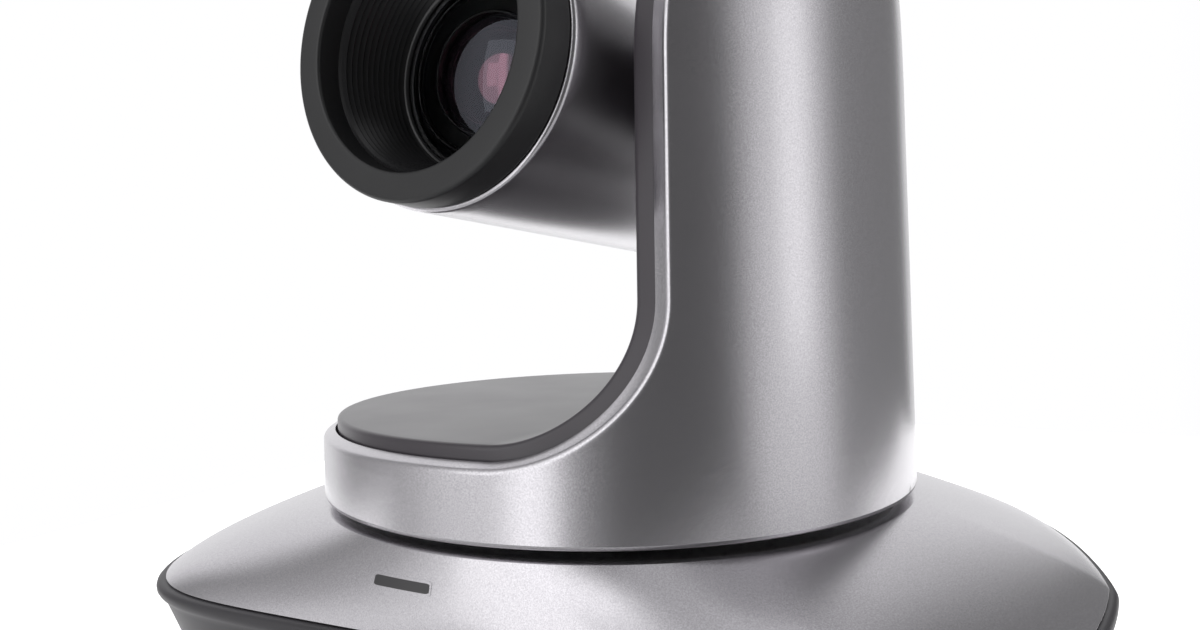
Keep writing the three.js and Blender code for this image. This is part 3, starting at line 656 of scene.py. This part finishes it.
# window in the cover's front
window_low, window_high = span("front_window")
fine_share = np.linspace(0, 1, 400)
front_angles = np.linspace(math.pi * 1.2, math.pi * 1.8, 1200)


def cover_y(x, z):
    """Depth of the cover's front at one x and height."""
    s = np.interp(COVER_TOP - z, cover_drop(fine_share), fine_share)
    ring = cover_point(front_angles, s)
    return np.interp(x, ring[:, 0], ring[:, 1])


def window_patch(border, proud):
    cx, cz = (window_low[0] + window_high[0]) / 2, (window_low[2] + window_high[2]) / 2
    w = (window_high[0] - window_low[0]) / 2 + border
    h = (window_high[2] - window_low[2]) / 2 + border
    u = np.linspace(-1, 1, 41)
    v = np.linspace(-1, 1, 13)
    grid = np.zeros((41, 13, 3))
    for i, a in enumerate(u):
        for j, b in enumerate(v):
            x, z = cx + a * w, cz + b * h * (1 - max(abs(a) - 0.93, 0) * 4)
            grid[i, j] = (x, cover_y(x, z) - proud, z)
    return grid


piece("front_window_frame", [window_patch(0.35, 0.05)], BASE, "base", SILVER)
piece(
    "front_window_pane",
    [window_patch(0.0, 0.1)],
    BASE,
    "base",
    SMOKED,
    replaces=["front_window"],
)

# ---------------------------------------------------------------- head
BARREL = 21.9
BARREL_FRONT = 46.6
BARREL_BACK = -17.0
HEAD_BACK = -31.0
HOOD = 21.4
HOOD_FRONT = BARREL_FRONT + 0.3 + 6
MOUTH = 17.3

barrel = rounded(
    [
        (BARREL - 2, BARREL_BACK, 0),
        (BARREL, BARREL_BACK, 0.35),
        (BARREL, BARREL_FRONT, 0.7),
        (BARREL - 2, BARREL_FRONT, 0),
    ]
)
long_barrel = [barrel[0]]
for a, b in zip(barrel[:-1], barrel[1:]):
    steps = 24 if abs(a[1] - b[1]) > 20 else 1
    long_barrel += [a + (b - a) * k / steps for k in range(1, steps + 1)]
piece(
    "head_shell_skin",
    [lathe(np.array(long_barrel), 192)],
    LENS,
    "head",
    SILVER,
    replaces=["head_shell"],
)

cap = rounded(
    [
        (0, HEAD_BACK, 0),
        (BARREL, HEAD_BACK, 7.5),
        (BARREL, BARREL_BACK - 0.35, 0.3),
        (BARREL - 2, BARREL_BACK - 0.35, 0),
    ],
    14,
)
cap = np.concatenate([[cap[0]], [[r, HEAD_BACK] for r in (4, 8, 12)], cap[1:]])
piece("rear_cap_skin", [lathe(cap, 160)], LENS, "head", DARK, replaces=["rear_cap"])

ridges = []
depth = HOOD_FRONT - 17
count = 12
for k in range(count):
    a = k / count
    s = HOOD_FRONT - 4.0 - a * 11.5
    r = MOUTH - 0.5 - 1.4 * a
    ridges += [(r, s), (r - 0.42, s - 0.5), (r - 0.42, s - 0.62), (r - 0.1, s - 0.66)]
hood_outside = rounded(
    [
        (19.6, depth, 0),
        (19.6, BARREL_FRONT + 0.3, 0),
        (HOOD, BARREL_FRONT + 0.3, 0.3),
        (HOOD, HOOD_FRONT, 0.8),
        (MOUTH, HOOD_FRONT, 0.5),
        (MOUTH - 0.25, HOOD_FRONT - 3.6, 0),
    ],
    7,
)
piece(
    "lens_hood_skin",
    [lathe(hood_outside, 192)],
    LENS,
    "head",
    BLACK,
    replaces=["lens_hood"],
)
piece(
    "lens_hood_ridges",
    [lathe(np.array([(MOUTH - 0.25, HOOD_FRONT - 3.6), *ridges, (15.2, depth + 0.3), (15.2, depth)]), 160)],
    LENS,
    "head",
    DEEP,
    flat=True,
)

# ---------------------------------------------------------------- lens
GLASS_RIM = 14.4
GLASS_EDGE = depth + 1.2
GLASS_CROWN = 3.4


def dome(radius, base, rise, rows=26):
    """A cap of a sphere as a profile: height base + rise at the middle, base at the radius."""
    big = (radius**2 + rise**2) / (2 * rise)
    r = np.linspace(0, radius, rows)
    return np.stack([r, base + rise - big + np.sqrt(big**2 - r**2)], 1)


front_dome = dome(GLASS_RIM, GLASS_EDGE, GLASS_CROWN)[::-1]
piece(
    "front_lens_glass",
    [lathe(front_dome, 128)],
    LENS,
    "head",
    FRONT_GLASS,
    replaces=["front_lens"],
)
for k, (radius, top, wide) in enumerate(((11.6, -0.2, 0.5), (8.2, -3.0, 0.45))):
    ring = [
        (radius + wide, top - 2),
        (radius + wide, top),
        (radius + 0.1, top + 0.25),
        (radius, top - 0.2),
        (radius - 0.5, top - 2.5),
    ]
    shifted = np.array([(r, GLASS_EDGE + z) for r, z in ring])
    piece(f"inner_ring_{k + 1}", [lathe(shifted, 112)], LENS, "head", DEEP)
inner_dome = dome(7.6, GLASS_EDGE - 4.6, 2.6)[::-1]
piece("inner_lens_glass", [lathe(inner_dome, 112)], LENS, "head", PINK_GLASS)
retainer_steps = ((15.1, 0.1), (15.1, 0.75), (14.9, 0.9), (14.5, 0.2))
retainer = np.array([(r, GLASS_EDGE + z) for r, z in retainer_steps])
piece("front_lens_retainer", [lathe(retainer, 144)], LENS, "head", DEEP)

# a small pale sheet under the object, which glows from the middle backwards and ends in front of the base
side, front, rear = 0.2, -0.13, 0.3
floor_mesh = bpy.data.meshes.new("floor")
floor_corners = [(-side, front, 0), (side, front, 0), (side, rear, 0), (-side, rear, 0)]
floor_mesh.from_pydata(floor_corners, [], [(0, 1, 2, 3)])
floor = bpy.data.objects.new("floor", floor_mesh)
bpy.context.scene.collection.objects.link(floor)
paper = Nodes("floor_paper", Roughness=0.9)
mottle = paper.ramp(paper.noise(4, 2), 0.3, 0.7, 0, 1)
paper.link(paper.mix(mottle, (0.86, 0.86, 0.86), (0.9, 0.9, 0.9)), "Base Color")
paper.shader.inputs["Emission Color"].default_value = (1, 1, 1, 1)
spot = paper.add("ShaderNodeSeparateXYZ", Vector=paper.tree.nodes["Texture Coordinate"].outputs["Object"])
slant = paper.add("ShaderNodeMath", Value=spot.outputs["X"])
slant.operation = "MULTIPLY_ADD"
slant.inputs[1].default_value = -0.48
paper.tree.links.new(spot.outputs["Y"], slant.inputs[2])
paper.link(paper.ramp(slant.outputs[0], -0.06, 0.0, 0.0, 0.9), "Emission Strength")
floor_mesh.materials.append(paper.material)

CAMERA_TURN = math.radians(25.7)  # round from the base's front, towards the arm
CAMERA_UP = math.radians(1.97)
CAMERA_ROLL = math.radians(1.49)
DISTANCE = 3.20 * R
ASIDE = (-0.053 * R, 0.548 * R)
A, E = CAMERA_TURN, CAMERA_UP
backward = np.array([math.sin(A) * math.cos(E), -math.cos(A) * math.cos(E), math.sin(E)])
right = np.array([math.cos(A), math.sin(A), 0])
upward = np.array([-math.sin(A) * math.sin(E), math.cos(A) * math.sin(E), math.cos(E)])
position = DISTANCE * backward + ASIDE[0] * right + ASIDE[1] * upward + np.array([0, 0, TURRET_Z])
c, s = math.cos(CAMERA_ROLL), math.sin(CAMERA_ROLL)
cam_right, cam_up = right * c - upward * s, right * s + upward * c
cam_data = bpy.data.cameras.new("camera")
cam_data.sensor_width = 36
cam_data.lens = 27
cam_data.clip_start = 0.005
cam_data.clip_end = 50
cam = bpy.data.objects.new("camera", cam_data)
bpy.context.scene.collection.objects.link(cam)
matrix = Matrix.Identity(4)
for column, values in enumerate((cam_right, cam_up, backward, position * 0.001)):
    for row in range(3):
        matrix[row][column] = values[row]
cam.matrix_world = matrix
bpy.context.scene.camera = cam

# Soft studio surroundings: brightness by direction round the object, measured from the camera's side
world = bpy.data.worlds.new("studio")
bpy.context.scene.world = world
world.use_nodes = True
tree = world.node_tree
link = tree.links.new


def node(kind, **values):
    made = tree.nodes.new(kind)
    for key, value in values.items():
        setattr(made, key, value)
    return made


coordinates = node("ShaderNodeTexCoord")
turned = node("ShaderNodeVectorRotate", rotation_type="Z_AXIS")
turned.inputs["Angle"].default_value = -CAMERA_TURN
link(coordinates.outputs["Generated"], turned.inputs["Vector"])
parts = node("ShaderNodeSeparateXYZ")
link(turned.outputs["Vector"], parts.inputs["Vector"])
minus_y = node("ShaderNodeMath", operation="MULTIPLY")
minus_y.inputs[1].default_value = -1
link(parts.outputs["Y"], minus_y.inputs[0])
turn = node("ShaderNodeMath", operation="ARCTAN2")
link(parts.outputs["X"], turn.inputs[0])
link(minus_y.outputs[0], turn.inputs[1])
share_round = node("ShaderNodeMapRange")
share_round.inputs["From Min"].default_value = -math.pi
share_round.inputs["From Max"].default_value = math.pi
link(turn.outputs[0], share_round.inputs["Value"])
round_ramp = node("ShaderNodeValToRGB")
link(share_round.outputs["Result"], round_ramp.inputs["Fac"])
round_ramp.color_ramp.interpolation = "EASE"
stops = [
    (-180, 1.0),
    (-138, 1.0),
    (-112, 0.35),
    (-88, 0.5),
    (-62, 0.95),
    (-44, 0.95),
    (-36, 1.9),
    (-28, 1.9),
    (-18, 0.35),
    (0, 0.1),
    (38, 0.09),
    (54, 0.9),
    (74, 0.9),
    (90, 0.28),
    (136, 0.24),
    (147, 1.0),
    (180, 1.0),
]
elements = round_ramp.color_ramp.elements
while len(elements) > 1:
    elements.remove(elements[-1])
for i, (degrees, value) in enumerate(stops):
    place = (degrees + 180) / 360
    stop = elements[0] if i == 0 else elements.new(place)
    stop.position = place
    stop.color = (value, value, value * 1.01, 1)
overhead = node("ShaderNodeMapRange", interpolation_type="SMOOTHSTEP")
overhead.inputs["From Min"].default_value = 0.78
overhead.inputs["From Max"].default_value = 0.98
link(parts.outputs["Z"], overhead.inputs["Value"])
blend = node("ShaderNodeMix", data_type="RGBA")
link(overhead.outputs["Result"], blend.inputs[0])
link(round_ramp.outputs["Color"], blend.inputs[6])
blend.inputs[7].default_value = (0.6, 0.6, 0.61, 1)
link(blend.outputs[2], tree.nodes["Background"].inputs["Color"])
tree.nodes["Background"].inputs["Strength"].default_value = 1.0

bpy.context.scene.view_settings.view_transform = "Standard"


def softbox(name, azimuth, height, distance, width, tall, watts):
    """An upright soft light at this azimuth from the camera's side, turned towards the object."""
    light = bpy.data.lights.new(name, "AREA")
    light.shape = "RECTANGLE"
    light.size, light.size_y, light.energy = width, tall, watts
    made = bpy.data.objects.new(name, light)
    bpy.context.scene.collection.objects.link(made)
    a = CAMERA_TURN + math.radians(azimuth)
    made.location = (distance * math.sin(a), -distance * math.cos(a), height)
    aim = Vector((0, 0, 0.08)) - made.location
    made.rotation_euler = aim.to_track_quat("-Z", "Y").to_euler()


softbox("key_light", -50, 0.45, 1.4, 0.45, 0.9, 0.9)
softbox("fill_light", 66, 0.4, 1.5, 0.35, 0.9, 0.6)
softbox("top_light", -150, 1.5, 0.5, 0.9, 0.9, 1.6)
